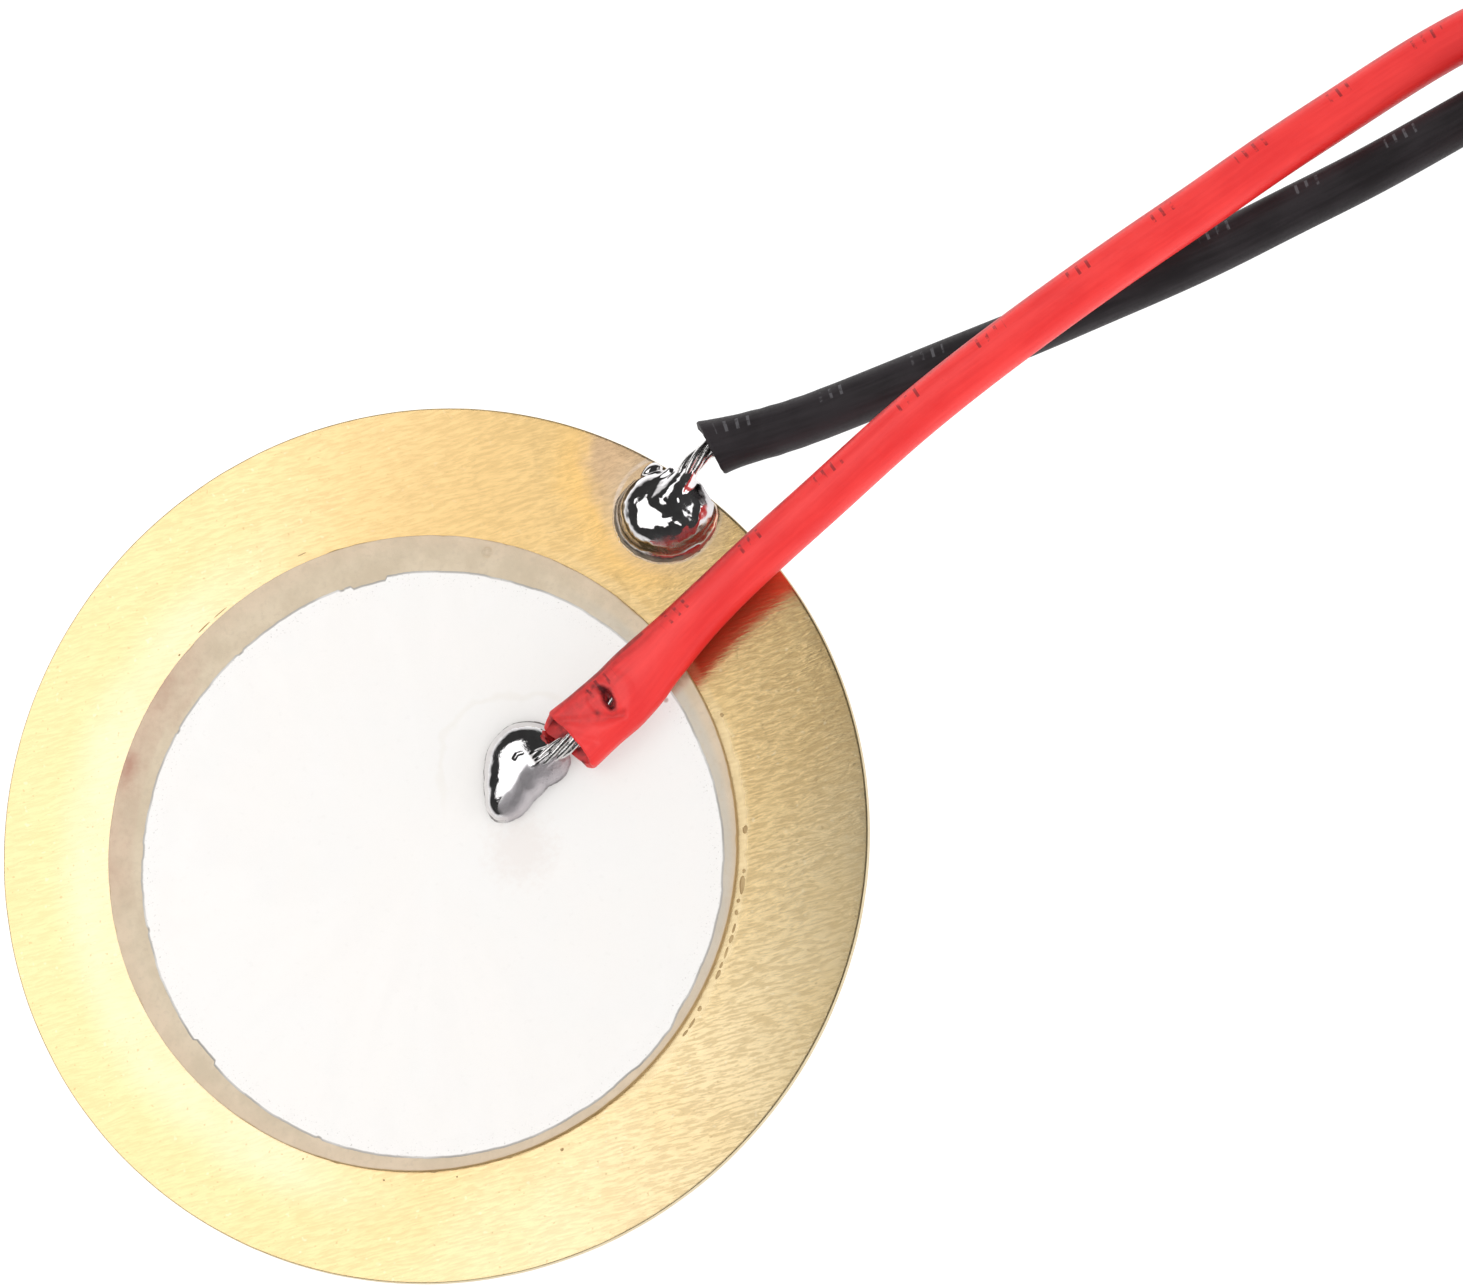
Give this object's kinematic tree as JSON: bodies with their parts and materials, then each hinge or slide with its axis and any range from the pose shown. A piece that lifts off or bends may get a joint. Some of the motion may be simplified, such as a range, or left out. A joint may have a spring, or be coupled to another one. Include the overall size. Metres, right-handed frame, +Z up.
{
  "type": "piezo disc",
  "caption": "Thin round brass plate with a bonded piezoelectric ceramic disc, a silver electrode and two soldered insulated leads, for sounding or picking up vibration.",
  "frame": {"origin": "centre of the brass plate's underside, on the surface it lies on", "axes": "+Z up, out of the ceramic side; +X towards where the leads run"},
  "size_m": [0.0686, 0.0301, 0.0032],
  "materials": {
    "brass": "satin",
    "adhesive": "satin",
    "silver": "matte",
    "ceramic": "matte",
    "solder": "polished",
    "tinned_wire": "satin",
    "black_pvc": "satin",
    "red_pvc": "satin",
    "tie": "satin"
  },
  "bodies": {
    "root": {"brass_plate": "brass", "bond_layer": "adhesive", "lower_electrode": "silver", "ceramic_disc": "ceramic", "upper_electrode": "silver", "rim_solder_joint": "solder", "centre_solder_joint": "solder", "black_conductor": "tinned_wire", "red_conductor": "tinned_wire", "black_lead": "black_pvc", "red_lead": "red_pvc", "black_lead_coil": "black_pvc", "red_lead_coil": "red_pvc", "black_tinned_end": "tinned_wire", "red_tinned_end": "tinned_wire", "coil_tie": "tie"}
  },
  "joints": []
}
